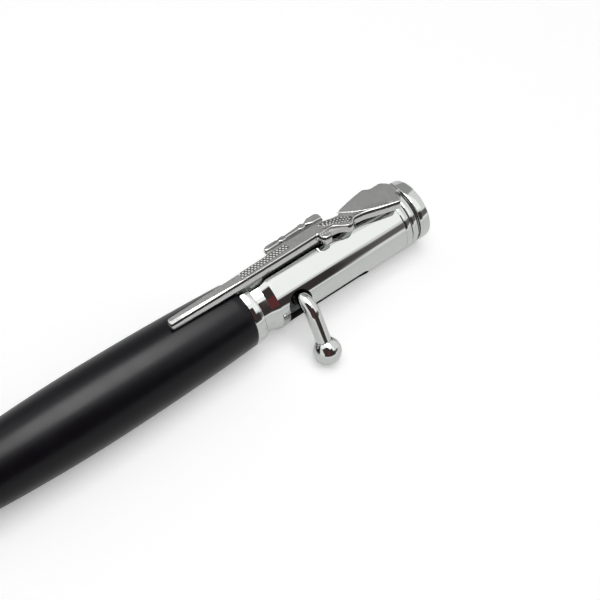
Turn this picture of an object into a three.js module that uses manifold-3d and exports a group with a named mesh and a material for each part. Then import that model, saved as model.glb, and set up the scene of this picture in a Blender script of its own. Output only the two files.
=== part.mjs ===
// A bolt-action ball pen whose upper half is turned like a rifle cartridge. It lies on a surface at z = 0, on the
// belly of its barrel and the ball of its bolt handle. Millimetres, +X from the writing point to the cap, +Z up.

import * as THREE from 'three';
import { mergeVertices } from 'three/addons/utils/BufferGeometryUtils.js';
import Module from 'manifold-3d';

const wasm = await Module();
wasm.setup();

// Clearance between pieces that touch, and between pieces that run in each other
const gap = 0.3;

// Turned chamfer on the outer edges of barrel, ring and nib
const edgeBreak = 0.25;

// Barrel: a turned sleeve with a long belly. Its length follows from the refill, nib and bolt
const barrelBellyRadius = 7.07;
const barrelBellyFromRear = 28.8;
const barrelRearRadius = 6.3;
const barrelFrontRadius = 5.7;

// Tube that lines the barrel
const linerRadius = 4.85;
const linerWall = 0.4;

// Centre ring and the coupler that joins liner and case
const centreRingLength = 1.9;
const centreRingRadius = 6.07;
const centreCouplerInLiner = 9;
const centreCouplerInCase = 2.4;
const couplerBore = 3.2;

// Case: neck, shoulder and body of the cartridge
const caseRadius = 6.11;
const caseWall = 0.9;
const caseLength = 32.4;
const neckRadius = 5.5;
const neckLength = 1.9;
const shoulderLength = 1.6;

// Bolt handle: a bent stem with a ball at its end, screwed into a carrier inside the case.
// Angles go round the pen from straight up towards the knob's side
const boltPlace = 8.1;
const boltAngle = 60.6;
const boltTurn = 48.1;
const stemRadius = 1.4;
const elbowReach = 8.13;
const elbowBend = 79.5;
const elbowRound = 1.6;
const knobFromElbow = 10.16;
const knobRadius = 2.6;
const knobPinRadius = 0.9;
const knobPinDepth = 1.7;
const stemRootDepth = 3;
const carrierFrontWeb = 1.8;
const carrierBackWeb = 4.2;
const pressStroke = 1.2;

// L-shaped slot in the case: a round notch that the stem rests in and a long leg that it runs along
const notchWidth = 5;
const notchAhead = 0.5;
const notchPastStem = 4.4;
const legClearance = 0.35;
const legStroke = 13.75;

// End bushing, clip band, end cap and the stud that holds them together
const flangeLength = 1.3;
const bushingDepth = 6;
const clipBandLength = 0.95;
const clipBandRadius = 6;
const bandRecess = 0.5;
const washerRadius = 3.6;
const rimRadius = 6;
const rimLength = 2.2;
const rimEdge = 0.3;
const grooveRadius = 5.38;
const grooveLength = 0.8;
const studRadius = 1.9;
const studHeadRadius = 3;
const studHeadLength = 0.8;
const primerRadius = 2.6;
const primerLength = 0.7;
const primerSink = 0.15;

// Clip: a rifle in relief on a plane beside the case, cast with the root that holds it on the band
const clipAngle = -14.4;
const clipGap = 0.84;
const clipThickness = 1.7;
const clipEdge = 0.2;
const clipLength = 50.8;
const buttBeforeBandBack = 0.75;
const clipRootWidth = 2.6;
const clipRootLength = 1.9;

// Rifle, measured forward from its butt and sideways from the line of its bore
const muzzleHeight = 0.68;
const muzzleRound = 0.55;
const stockDepth = 1.08;
const stockBack = 25.8;
const foreEndMiddle = 36.8;
const foreEndHeight = 1.06;
const foreEndBack = 28.6;
const foreEndBackHeight = 1.38;
const magazineFront = 18.6;
const magazineRound = 1;
const magazineBack = 16.6;
const magazineDepth = 2.55;
const magazineDraft = 0.1;
const receiverBack = 15.2;
const receiverDepth = 0.92;
const receiverHeight = 1.4;
const gripFront = 13;
const gripBack = 11.4;
const gripDepth = 2.5;
const gripFullness = 0.7;
const gripUnderDepth = 1.5;
const gripUnder = 13.8;
const wrist = 10.7;
const wristDepth = 1.9;
const toe = 1.7;
const toeDepth = 4.3;
const buttHollow = 0.6;
const buttHollowDepth = 1.8;
const buttHeight = 0.6;
const heel = 1.3;
const heelHeight = 1.8;
const heelPad = 1.7;
const heelPadHeight = 2.35;
const combBack = 4.2;
const combBackHeight = 2.45;
const combPeak = 5;
const combPeakHeight = 3;
const combFront = 11.5;
const combFrontHeight = 1.95;
const tang = 12.6;
const tangHeight = 1;
const tangRound = 0.4;
const tangRoundHeight = 1.7;

// Scope on the rifle, measured the same way
const scopeHeight = 2.62;
const scopeFront = 28;
const scopeBellLength = 2.8;
const scopeBellRadius = 0.72;
const scopeTubeRadius = 0.48;
const scopeRingRadius = 0.85;
const frontRing = 24.85;
const frontRingLength = 1.25;
const frontRingLess = 0.1;
const backRing = 20.3;
const backRingLength = 1.1;
const ringSlope = 0.1;
const bellSlope = 0.3;
const scopeEye = 18.5;
const scopeEyeLength = 3.5;
const scopeEyeRadius = 1.28;
const scopeEyeEdge = 0.4;
const scopeEyeSlope = 0.6;
const scopeWeb = 0.3;
const scopeWebFront = 27.8;
const scopeWebBack = 15.5;

// Nib: a bullet-shaped shell that screws on the coupler
const nibLength = 31;
const nibRadius = 5.5;
const nibMouthRadius = 1.75;
const nibOrifice = 1.5;
const nibOgiveFullness = 1.8;
const nibCollarLength = 5;
const nibThreadRadius = 4.2;
const nibThreadLength = 5.6;
const nibBore = 3.35;
const springPocketRadius = 2.5;
const springPocketFromMouth = 6.2;
const nibWasherLength = 0.6;
const nibCouplerInLiner = 9;

// Refill with its point, and the spring round its nose
const refillLength = 98;
const refillRadius = 2.9;
const refillWall = 0.35;
const pointOut = 3.3;
const pointLength = 6.5;
const pointRadius = 1.15;
const pointLip = 0.25;
const inkWayRadius = 0.25;
const ballRadius = 0.5;
const noseLength = 11.6;
const noseRadius = 1.5;
const noseBore = 0.75;
const noseCollarRadius = 2.45;
const noseCollarLength = 1.2;
const plugLength = 4;
const plugInside = 3;
const thrustPadLength = 2;
const springWire = 0.2;
const springRadius = 2.1;
const springCoils = 8;

// Fineness of the round faces
const around = 48;
const aroundMiddle = 32;
const aroundSmall = 16;

// Places along the pen. Zero is the seam between centre ring and case
const barrelBack = -centreRingLength - gap;
const carrierFront = boltPlace - stemRadius - carrierFrontWeb;
const carrierBack = boltPlace + stemRadius + carrierBackWeb;
const padFront = carrierFront - gap - thrustPadLength;
const refillBack = padFront - gap;
const pointFront = refillBack - refillLength;
const nibFront = pointFront + pointOut;
const nibBack = nibFront + nibLength;
const barrelFront = nibBack + gap + nibWasherLength + gap;
const barrelLength = barrelBack - barrelFront;
const pointBack = pointFront + ballRadius + pointLength;
const noseFront = pointBack + gap;
const noseBack = noseFront + noseLength;
const caseFront = gap;
const caseBack = caseFront + caseLength;
const flangeFront = caseBack + gap;
const flangeBack = flangeFront + flangeLength;
const bandFront = flangeBack + gap;
const bandBack = bandFront + clipBandLength;
const capFront = bandBack + gap;
const rimFront = capFront + grooveLength;
const capBack = rimFront + rimLength;
const clipButt = bandBack - buttBeforeBandBack;
const legFront = boltPlace - notchAhead - notchWidth / 2;
const legBack = boltPlace + stemRadius + legClearance + legStroke;

// Radii and angles that follow from the sizes above
const clipUnderside = caseRadius + clipGap;
const notchAngle = boltAngle + notchPastStem;
const legAngle = boltAngle + boltTurn;
const linerInner = linerRadius - linerWall;
const bushRadius = linerInner - gap;
const caseBore = caseRadius - caseWall;
const carrierRadius = caseBore - gap;

function radians(degrees) {
  return degrees * Math.PI / 180;
}

// Welds a geometry to bare positions and drops triangles that have closed to a line
function weld(geometry) {
  const bare = geometry.clone();
  bare.deleteAttribute('normal');
  bare.deleteAttribute('uv');
  const welded = mergeVertices(bare, 1e-5);
  const kept = [];
  const index = welded.index.array;
  for (let i = 0; i < index.length; i += 3) {
    const [a, b, c] = [index[i], index[i + 1], index[i + 2]];
    if (a !== b && b !== c && c !== a) kept.push(a, b, c);
  }
  welded.setIndex(kept);
  return welded;
}

function toSolid(geometry) {
  const welded = weld(geometry);
  const vertProperties = new Float32Array(welded.attributes.position.array);
  const triVerts = new Uint32Array(welded.index.array);
  return new wasm.Manifold(new wasm.Mesh({ numProp: 3, vertProperties, triVerts }));
}

function toGeometry(solid) {
  const mesh = solid.getMesh();
  const geometry = new THREE.BufferGeometry();
  geometry.setAttribute('position', new THREE.BufferAttribute(mesh.vertProperties.slice(), 3));
  geometry.setIndex(new THREE.BufferAttribute(mesh.triVerts.slice(), 1));
  return geometry;
}

function cut(geometry, ...tools) {
  return toGeometry(tools.reduce((solid, tool) => solid.subtract(toSolid(tool)), toSolid(geometry)));
}

function join(geometry, ...others) {
  return toGeometry(others.reduce((solid, other) => solid.add(toSolid(other)), toSolid(geometry)));
}

// Turns a profile of [place along the pen, radius] points about the pen's axis
function turned(profile, segments = around) {
  const points = profile.map(([place, radius]) => new THREE.Vector2(radius, place));
  return weld(new THREE.LatheGeometry(points, segments).rotateZ(-Math.PI / 2));
}

// A sleeve from an outer profile, with one bore or a bore profile of its own
function sleeve(outer, bore, segments = around) {
  const inner = Array.isArray(bore) ? bore : [[outer.at(-1)[0], bore], [outer[0][0], bore]];
  return turned([...outer, ...inner, outer[0]], segments);
}

function tube(front, back, radius, bore, segments = around) {
  return sleeve([[front, radius], [back, radius]], bore, segments);
}

function rod(front, back, radius, segments = around) {
  return turned([[front, 0], [front, radius], [back, radius], [back, 0]], segments);
}

// Unit vector that points away from the pen's axis at an angle round it
function outward(angle) {
  return new THREE.Vector3(0, -Math.sin(radians(angle)), Math.cos(radians(angle)));
}

// Puts a shape that was drawn in (along the pen, across) and raised outwards at its angle round the pen
function atAngle(geometry, angle) {
  const out = outward(angle);
  const along = new THREE.Vector3(1, 0, 0);
  const across = new THREE.Vector3().crossVectors(out, along);
  return geometry.applyMatrix4(new THREE.Matrix4().makeBasis(along, across, out));
}

function barrelRadiusAt(place) {
  const belly = barrelBack - barrelBellyFromRear;
  const toRear = place > belly;
  const reach = toRear ? barrelBellyFromRear : barrelLength - barrelBellyFromRear;
  const drop = barrelBellyRadius - (toRear ? barrelRearRadius : barrelFrontRadius);
  return barrelBellyRadius - drop * ((place - belly) / reach) ** 2;
}

function makeBarrel() {
  const steps = 12;
  const outer = [[barrelFront, barrelFrontRadius - edgeBreak]];
  for (let i = 0; i <= steps; i += 1) {
    const span = barrelLength - 2 * edgeBreak;
    const place = barrelFront + edgeBreak + span * i / steps;
    outer.push([place, barrelRadiusAt(place)]);
  }
  outer.push([barrelBack, barrelRearRadius - edgeBreak]);
  return sleeve(outer, linerRadius + gap);
}

function makeCentreCoupler() {
  const front = barrelBack - centreCouplerInLiner;
  const outer = [
    [front, bushRadius], [barrelBack, bushRadius], [barrelBack, linerInner],
    [caseFront, linerInner], [caseFront, bushRadius], [caseFront + centreCouplerInCase, bushRadius],
  ];
  return sleeve(outer, couplerBore);
}

function makeCentreRing() {
  const front = -centreRingLength;
  const outer = [
    [front, centreRingRadius - edgeBreak], [front + edgeBreak, centreRingRadius],
    [-edgeBreak, centreRingRadius], [0, centreRingRadius - edgeBreak],
  ];
  return sleeve(outer, linerInner + gap);
}

function slotCutters() {
  const overrun = 1;
  const low = caseBore - overrun;
  const high = caseRadius + overrun;
  const half = stemRadius + legClearance;
  const leg = new THREE.Shape();
  leg.moveTo(legFront, -half);
  leg.lineTo(legBack - half, -half);
  leg.absarc(legBack - half, 0, half, -Math.PI / 2, Math.PI / 2, false);
  leg.lineTo(legFront, half);
  const raise = { depth: high - low, bevelEnabled: false, curveSegments: aroundSmall / 2 };
  const legTool = atAngle(new THREE.ExtrudeGeometry(leg, raise).translate(0, 0, low), legAngle);
  const round = new THREE.Shape();
  round.absarc(boltPlace - notchAhead, 0, notchWidth / 2, 0, 2 * Math.PI, false);
  const roundRaise = { ...raise, curveSegments: aroundSmall };
  const roundTool = atAngle(new THREE.ExtrudeGeometry(round, roundRaise).translate(0, 0, low), notchAngle);
  const sector = new THREE.Shape();
  sector.absarc(0, 0, high + overrun, radians(notchAngle), radians(legAngle), false);
  sector.absarc(0, 0, low, radians(legAngle), radians(notchAngle), true);
  const sweepRaise = { ...raise, depth: notchWidth, curveSegments: 12 };
  const sweep = new THREE.ExtrudeGeometry(sector, sweepRaise);
  const basis = new THREE.Matrix4().makeBasis(outward(0), outward(90), new THREE.Vector3(1, 0, 0));
  sweep.applyMatrix4(basis).translate(legFront, 0, 0);
  return [legTool, roundTool, sweep];
}

function makeCase() {
  const shoulderBack = neckLength + shoulderLength;
  const outer = [
    [caseFront, neckRadius], [neckLength, neckRadius], [shoulderBack, caseRadius], [caseBack, caseRadius],
  ];
  const bore = [
    [caseBack, caseBore], [shoulderBack, caseBore],
    [neckLength, linerInner], [caseFront, linerInner],
  ];
  return cut(sleeve(outer, bore, around), ...slotCutters());
}

function makeEndBushing() {
  const outer = [
    [caseBack - bushingDepth, carrierRadius], [flangeFront, carrierRadius],
    [flangeFront, caseRadius], [flangeBack, caseRadius],
  ];
  return sleeve(outer, studRadius + gap);
}

function makeClipBand() {
  const bore = [
    [bandBack, studRadius + gap], [bandFront + bandRecess, studRadius + gap],
    [bandFront + bandRecess, washerRadius + gap], [bandFront, washerRadius + gap],
  ];
  return sleeve([[bandFront, clipBandRadius], [bandBack, clipBandRadius]], bore);
}

function makeSpringWasher() {
  return tube(flangeBack + gap / 2, bandFront + bandRecess - gap / 2, washerRadius, studRadius + gap);
}

function makeEndCap() {
  const outer = [
    [capFront, grooveRadius], [rimFront, grooveRadius], [rimFront, rimRadius - rimEdge],
    [rimFront + rimEdge, rimRadius], [capBack - rimEdge, rimRadius], [capBack, rimRadius - rimEdge],
  ];
  const pocketDepth = primerLength + primerSink + gap;
  const headSeat = capBack - pocketDepth - studHeadLength - gap;
  const bore = [
    [capBack, primerRadius + gap], [capBack - pocketDepth, primerRadius + gap],
    [capBack - pocketDepth, studHeadRadius + gap], [headSeat, studHeadRadius + gap],
    [headSeat, studRadius + gap], [capFront, studRadius + gap],
  ];
  return sleeve(outer, bore);
}

function makeCapStud() {
  const headBack = capBack - primerLength - primerSink - gap - gap / 2;
  const headFront = headBack - studHeadLength + gap / 2;
  const front = caseBack - bushingDepth + gap;
  return turned([
    [front, 0], [front, studRadius], [headFront, studRadius],
    [headFront, studHeadRadius], [headBack, studHeadRadius], [headBack, 0],
  ]);
}

function makePrimerDisc() {
  const back = capBack - primerSink;
  const front = back - primerLength;
  const edge = primerSink;
  return turned([
    [front, 0], [front, primerRadius], [back - edge, primerRadius], [back, primerRadius - edge], [back, 0],
  ], around);
}

// Centre line of the bolt handle: out of the carrier, round the elbow and down to the ball
function handleLine() {
  const root = outward(boltAngle);
  const leg = outward(boltAngle + elbowBend);
  const place = new THREE.Vector3(boltPlace, 0, 0);
  const elbow = place.clone().addScaledVector(root, elbowReach);
  return { place, root, leg, elbow };
}

// A round bar along a path, with a step for each listed radius change
function bar(path, radius, steps) {
  const section = new THREE.Shape();
  section.absarc(0, 0, radius, 0, 2 * Math.PI, false);
  return new THREE.ExtrudeGeometry(section, { steps, extrudePath: path, curveSegments: aroundSmall / 2 });
}

function makeBoltHandle() {
  const { place, root, leg, elbow } = handleLine();
  const overlap = 0.2;
  const steps = 40;
  const stemEnd = knobFromElbow - Math.sqrt(knobRadius ** 2 - stemRadius ** 2) - gap;
  const start = place.clone().addScaledVector(root, stemRootDepth);
  const bendStart = elbow.clone().addScaledVector(root, -elbowRound);
  const bendEnd = elbow.clone().addScaledVector(leg, elbowRound);
  const end = elbow.clone().addScaledVector(leg, stemEnd);
  const path = new THREE.CurvePath();
  path.add(new THREE.LineCurve3(start, bendStart));
  path.add(new THREE.QuadraticBezierCurve3(bendStart, elbow, bendEnd));
  path.add(new THREE.LineCurve3(bendEnd, end));
  const pinStart = end.clone().addScaledVector(leg, -overlap);
  const pinEnd = end.clone().addScaledVector(leg, knobPinDepth);
  return join(bar(path, stemRadius, steps), bar(new THREE.LineCurve3(pinStart, pinEnd), knobPinRadius, 1));
}

function makeBoltKnob() {
  const { leg, elbow } = handleLine();
  const centre = elbow.clone().addScaledVector(leg, knobFromElbow);
  const rings = 20;
  const ball = new THREE.SphereGeometry(knobRadius, aroundMiddle, rings).translate(...centre);
  const faceReach = knobFromElbow - Math.sqrt(knobRadius ** 2 - stemRadius ** 2);
  const holeStart = elbow.clone().addScaledVector(leg, faceReach - knobRadius);
  const holeEnd = elbow.clone().addScaledVector(leg, faceReach + knobPinDepth);
  const hole = bar(new THREE.LineCurve3(holeStart, holeEnd), knobPinRadius + gap, 1);
  const faceEnd = elbow.clone().addScaledVector(leg, faceReach);
  const spotFace = bar(new THREE.LineCurve3(holeStart, faceEnd), stemRadius + gap, 1);
  return cut(ball, hole, spotFace);
}

function makeBoltCarrier() {
  const { place, root } = handleLine();
  const body = rod(carrierFront, carrierBack, carrierRadius);
  const bottom = place.clone().addScaledVector(root, stemRootDepth - gap);
  const top = place.clone().addScaledVector(root, caseRadius);
  return cut(body, bar(new THREE.LineCurve3(bottom, top), stemRadius + gap, 1));
}

function makeThrustPad() {
  return rod(padFront, padFront + thrustPadLength, refillRadius);
}

function makeRefillTube() {
  return tube(noseBack + gap, refillBack - plugLength + plugInside, refillRadius, refillRadius - refillWall);
}

function makeRefillPlug() {
  const stop = refillBack - plugLength + plugInside + gap;
  const stem = refillRadius - refillWall - gap;
  return turned([
    [stop - plugInside, 0], [stop - plugInside, stem], [stop, stem],
    [stop, refillRadius], [refillBack, refillRadius], [refillBack, 0],
  ], aroundMiddle);
}

function makeRefillNose() {
  const collarFront = noseBack - noseCollarLength;
  const spigot = refillRadius - refillWall - gap;
  const outer = [
    [noseFront, noseRadius], [collarFront, noseRadius], [collarFront, noseCollarRadius],
    [noseBack, noseCollarRadius], [noseBack, spigot], [noseBack + plugInside, spigot],
  ];
  return sleeve(outer, noseBore, aroundMiddle);
}

function makeRefillPoint() {
  const seat = pointFront + ballRadius;
  const coneBack = seat + pointLength / 2;
  const cup = ballRadius + gap / 3;
  const outer = [[seat, cup + pointLip], [coneBack, pointRadius], [pointBack, pointRadius]];
  const bore = [[pointBack, inkWayRadius], [seat + cup, inkWayRadius], [seat + cup, cup], [seat, cup]];
  return sleeve(outer, bore, aroundSmall);
}

function makeWritingBall() {
  const rings = 10;
  return weld(new THREE.SphereGeometry(ballRadius, aroundSmall, rings).translate(pointFront + ballRadius, 0, 0));
}

// A spring of one unbroken wire, flat wound at neither end
class Helix extends THREE.Curve {
  constructor(front, back, radius, turns) {
    super();
    Object.assign(this, { front, back, radius, turns });
  }

  getPoint(t, target = new THREE.Vector3()) {
    const turn = 2 * Math.PI * this.turns * t;
    const place = this.front + (this.back - this.front) * t;
    return target.set(place, this.radius * Math.cos(turn), this.radius * Math.sin(turn));
  }
}

function makeNoseSpring() {
  const front = nibFront + springPocketFromMouth + gap + springWire;
  const back = noseBack - noseCollarLength - gap - springWire;
  const section = new THREE.Shape();
  section.absarc(0, 0, springWire, 0, 2 * Math.PI, false);
  const path = new Helix(front, back, springRadius, springCoils);
  const steps = springCoils * 12;
  return weld(new THREE.ExtrudeGeometry(section, { steps, extrudePath: path, curveSegments: 3 }));
}

// The nib is drawn as a bullet: a straight collar, then a swell that falls ever faster to the mouth
function nibRadiusAt(place) {
  const ogiveLength = nibLength - nibCollarLength;
  const share = Math.max(0, nibFront + ogiveLength - place) / ogiveLength;
  return nibRadius - (nibRadius - nibMouthRadius) * share ** nibOgiveFullness;
}

function makeNib() {
  const steps = 14;
  const outer = [];
  for (let i = 0; i < steps; i += 1) {
    const place = nibFront + (nibLength - nibCollarLength) * i / steps;
    outer.push([place, nibRadiusAt(place)]);
  }
  outer.push([nibBack - nibCollarLength, nibRadius], [nibBack - edgeBreak, nibRadius]);
  outer.push([nibBack, nibRadius - edgeBreak]);
  const threadFront = nibBack - nibThreadLength - gap;
  const pocket = nibFront + springPocketFromMouth;
  const pocketBack = noseBack - pressStroke - gap;
  const bore = [
    [nibBack, nibThreadRadius + gap], [threadFront, nibThreadRadius + gap], [threadFront, nibBore],
    [pocketBack, nibBore], [pocketBack - gap, springPocketRadius + gap], [pocket, springPocketRadius],
    [pocket, nibOrifice], [nibFront, nibOrifice],
  ];
  return sleeve(outer, bore);
}

function makeNibCoupler() {
  const outer = [
    [nibBack - nibThreadLength, nibThreadRadius], [barrelFront, nibThreadRadius],
    [barrelFront, bushRadius], [barrelFront + nibCouplerInLiner, bushRadius],
  ];
  return sleeve(outer, couplerBore);
}

function makeNibWasher() {
  return tube(nibBack + gap, barrelFront - gap, nibRadius - gap, nibThreadRadius + gap);
}

function makeLiner() {
  return tube(barrelFront, barrelBack, linerRadius, linerInner);
}

// Side view of the rifle, in (along the pen, towards the scope), with its butt at zero
function rifleOutline() {
  const magazineFace = -magazineFront + magazineRound;
  const muzzle = -clipLength;
  const shape = new THREE.Shape();
  shape.moveTo(muzzle, muzzleRound - stockDepth);
  shape.quadraticCurveTo(muzzle, -stockDepth, muzzle + muzzleRound, -stockDepth);
  shape.lineTo(-stockBack, -stockDepth);
  shape.lineTo(-magazineFront, -receiverDepth);
  shape.quadraticCurveTo(-magazineFront + 2 * magazineDraft, -magazineDepth, magazineFace, -magazineDepth);
  shape.lineTo(-magazineBack, -magazineDepth);
  shape.lineTo(-magazineBack + magazineDraft, -receiverDepth);
  shape.lineTo(-receiverBack, -receiverDepth);
  shape.quadraticCurveTo(-gripUnder, -gripUnderDepth, -gripFront, -gripDepth);
  shape.quadraticCurveTo(-(gripFront + gripBack) / 2, -gripDepth - gripFullness, -gripBack, -gripDepth);
  shape.lineTo(-wrist, -wristDepth);
  shape.lineTo(-toe, -toeDepth);
  shape.quadraticCurveTo(-buttHollow, -buttHollowDepth, 0, buttHeight);
  shape.lineTo(-heel, heelHeight);
  shape.lineTo(-heelPad, heelPadHeight);
  shape.lineTo(-combBack, combBackHeight);
  shape.lineTo(-combPeak, combPeakHeight);
  shape.lineTo(-combFront, combFrontHeight);
  shape.quadraticCurveTo(-tang + tangRound, tangRoundHeight, -tang, tangHeight);
  shape.lineTo(-receiverBack, receiverHeight);
  shape.lineTo(-scopeWebBack, scopeHeight - scopeWeb);
  shape.lineTo(-scopeWebFront, scopeHeight - scopeWeb);
  shape.lineTo(-foreEndBack, foreEndBackHeight);
  shape.lineTo(-foreEndMiddle, foreEndHeight);
  shape.lineTo(muzzle + muzzleRound, muzzleHeight);
  shape.quadraticCurveTo(muzzle, muzzleHeight, muzzle, muzzleHeight - muzzleRound);
  return shape;
}

function makeScope() {
  const bellBack = -scopeFront + scopeBellLength;
  const frontRingBack = -frontRing + frontRingLength;
  const frontRingRadius = scopeRingRadius - frontRingLess;
  const backRingBack = -backRing + backRingLength;
  const eyeBack = -scopeEye + scopeEyeLength;
  const profile = [
    [-scopeFront, 0], [-scopeFront, scopeBellRadius], [bellBack, scopeBellRadius],
    [bellBack + bellSlope, scopeTubeRadius],
    [-frontRing, frontRingRadius], [frontRingBack, frontRingRadius], [frontRingBack + ringSlope, scopeTubeRadius],
    [-backRing - ringSlope, scopeTubeRadius], [-backRing, scopeRingRadius],
    [backRingBack, scopeRingRadius], [backRingBack + 2 * ringSlope, scopeTubeRadius],
    [-scopeEye, scopeEyeRadius], [eyeBack - scopeEyeSlope, scopeEyeRadius],
    [eyeBack, scopeEyeRadius - scopeEyeEdge], [eyeBack, 0],
  ];
  return turned(profile, aroundSmall);
}

function makeClip() {
  const raise = {
    depth: clipThickness - 2 * clipEdge, bevelEnabled: true, bevelThickness: clipEdge, bevelSize: clipEdge,
    bevelOffset: -clipEdge, bevelSegments: 1, curveSegments: 5,
  };
  const plate = new THREE.ExtrudeGeometry(rifleOutline(), raise).translate(clipButt, 0, clipUnderside + clipEdge);
  const middle = clipUnderside + clipThickness / 2;
  const scope = makeScope().translate(clipButt, scopeHeight, middle);
  const rootBottom = caseRadius + gap;
  const root = new THREE.BoxGeometry(clipRootLength, clipRootWidth, middle - rootBottom);
  root.translate(bandBack - clipRootLength / 2, 0, (middle + rootBottom) / 2);
  return atAngle(join(plate, scope, root), clipAngle);
}

// Node name, geometry, colour, roughness, metalness
const chrome = [0xcdcdce, 0.08, 1];
const steel = [0xa9a9ad, 0.35, 1];
const brass = [0xc9a24b, 0.3, 1];
const castGrey = [0x8e8e8b, 0.42, 1];
const blackPaint = [0x100e13, 0.5, 0];
const blackPlastic = [0x1a1a1d, 0.55, 0];
const whitePlastic = [0xe6e6e2, 0.5, 0];

const pieces = [
  ['barrel', makeBarrel, blackPaint],
  ['barrel_liner', makeLiner, brass],
  ['nib_coupler', makeNibCoupler, brass],
  ['nib_washer', makeNibWasher, chrome],
  ['nib', makeNib, chrome],
  ['nose_spring', makeNoseSpring, steel],
  ['centre_coupler', makeCentreCoupler, brass],
  ['centre_ring', makeCentreRing, chrome],
  ['cartridge_case', makeCase, chrome],
  ['end_bushing', makeEndBushing, chrome],
  ['spring_washer', makeSpringWasher, steel],
  ['clip_band', makeClipBand, chrome],
  ['clip', makeClip, castGrey],
  ['end_cap', makeEndCap, chrome],
  ['cap_stud', makeCapStud, steel],
  ['primer_disc', makePrimerDisc, chrome],
  ['bolt_carrier', makeBoltCarrier, blackPlastic],
  ['bolt_handle', makeBoltHandle, chrome],
  ['bolt_knob', makeBoltKnob, chrome],
  ['thrust_pad', makeThrustPad, whitePlastic],
  ['refill_tube', makeRefillTube, steel],
  ['refill_plug', makeRefillPlug, blackPlastic],
  ['refill_nose', makeRefillNose, brass],
  ['refill_point', makeRefillPoint, brass],
  ['writing_ball', makeWritingBall, steel],
];

const pen = new THREE.Group();
for (const [name, make, [colour, roughness, metalness]] of pieces) {
  const material = new THREE.MeshStandardMaterial({ color: colour, roughness, metalness });
  const mesh = new THREE.Mesh(weld(make()), material);
  mesh.name = name;
  pen.add(mesh);
}

// The origin is under the middle of the pen's box, on the surface that the belly touches
const box = new THREE.Box3().setFromObject(pen);
const middle = box.getCenter(new THREE.Vector3());
pen.position.set(-middle.x, -middle.y, -box.min.z);
pen.updateMatrixWorld(true);

export default pen;
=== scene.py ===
import math

import bmesh
import bpy
from mathutils import Matrix, Vector


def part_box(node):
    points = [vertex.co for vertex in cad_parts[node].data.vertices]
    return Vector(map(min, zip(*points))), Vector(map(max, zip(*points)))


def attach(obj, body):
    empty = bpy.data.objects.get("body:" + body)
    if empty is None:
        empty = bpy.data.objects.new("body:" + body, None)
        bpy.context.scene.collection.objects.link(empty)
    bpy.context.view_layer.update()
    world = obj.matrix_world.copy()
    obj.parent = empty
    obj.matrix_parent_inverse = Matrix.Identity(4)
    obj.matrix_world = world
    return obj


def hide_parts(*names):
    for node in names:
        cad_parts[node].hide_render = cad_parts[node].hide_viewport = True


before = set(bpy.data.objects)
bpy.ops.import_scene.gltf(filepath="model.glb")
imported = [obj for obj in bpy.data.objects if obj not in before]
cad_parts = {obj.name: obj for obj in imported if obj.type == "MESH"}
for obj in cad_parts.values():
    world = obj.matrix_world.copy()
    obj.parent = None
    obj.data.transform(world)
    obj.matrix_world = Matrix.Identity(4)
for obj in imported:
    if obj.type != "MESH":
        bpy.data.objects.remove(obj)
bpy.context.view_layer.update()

# ---------------------------------------------------------------------------- the pen on its table, and the camera
# The pen was turned on a lathe, so its pieces are drawn in millimetres along one axis. Zero is the seam between
# centre ring and cartridge case, +X runs to the cap, and angles start straight up and grow towards the knob.
ring_low, ring_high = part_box("centre_ring")
seam = Vector((ring_high.x, (ring_low.y + ring_high.y) / 2, (ring_low.z + ring_high.z) / 2))
pen_to_frame = Matrix.Translation(seam) @ Matrix.Scale(0.001, 4)
along_pen = Vector((1, 0, 0))


def outward(degrees):
    """Unit vector away from the pen's axis at an angle round it."""
    return Vector((0, -math.sin(math.radians(degrees)), math.cos(math.radians(degrees))))


def facing(degrees):
    """Turn that puts X along the pen, Y across it and Z away from it at an angle round it."""
    out = outward(degrees)
    return Matrix((along_pen, out.cross(along_pen), out)).transposed().to_4x4()


# A short telephoto over the barrel, looking along the pen at the cap from the knob's side
camera_along, camera_angle, camera_reach = -69.886, 23.6, 195.54
camera_yaw, camera_pitch, camera_roll = -22.106, -0.991, -32
camera_place = Vector((camera_along, 0, 0)) + outward(camera_angle) * camera_reach
camera_data = bpy.data.cameras.new("photo_camera")
camera_data.lens = 69.26
camera_data.sensor_width = 36
camera_data.clip_start = 0.01
camera_data.clip_end = 20
camera = bpy.data.objects.new("photo_camera", camera_data)
bpy.context.scene.collection.objects.link(camera)
yaw = Matrix.Rotation(math.radians(camera_yaw), 4, "Y")
pitch = Matrix.Rotation(math.radians(camera_pitch), 4, "X")
roll = Matrix.Rotation(math.radians(camera_roll), 4, "Z")
camera.matrix_world = Matrix.Translation(pen_to_frame @ camera_place) @ facing(camera_angle) @ yaw @ pitch @ roll
bpy.context.scene.camera = camera

# ---------------------------------------------------------------------------- white studio
# The photograph was taken under a soft light with white all round. The dome is white to the camera and in the metal,
# and it lights the pen a little less, because the lamps light it as well. Sizes in the studio are in metres.
bpy.context.scene.view_settings.view_transform = "Standard"
world = bpy.data.worlds.new("white_studio")
bpy.context.scene.world = world
world.use_nodes = True


def brightness_by_ray(tree, seen, mirrored, cast, target):
    """Feeds target with one value for what the camera sees, one for metal and glass, and one for the light cast."""
    light_path = tree.nodes.new("ShaderNodeLightPath")
    value = None
    for ray, level in (("Is Camera Ray", seen), ("Is Glossy Ray", mirrored), ("Is Transmission Ray", mirrored)):
        share, most = tree.nodes.new("ShaderNodeMath"), tree.nodes.new("ShaderNodeMath")
        share.operation, most.operation = "MULTIPLY", "MAXIMUM"
        share.inputs[1].default_value = level
        tree.links.new(light_path.outputs[ray], share.inputs[0])
        tree.links.new(share.outputs[0], most.inputs[0])
        if value:
            tree.links.new(value, most.inputs[1])
        else:
            most.inputs[1].default_value = cast
        value = most.outputs[0]
    tree.links.new(value, target)


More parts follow.
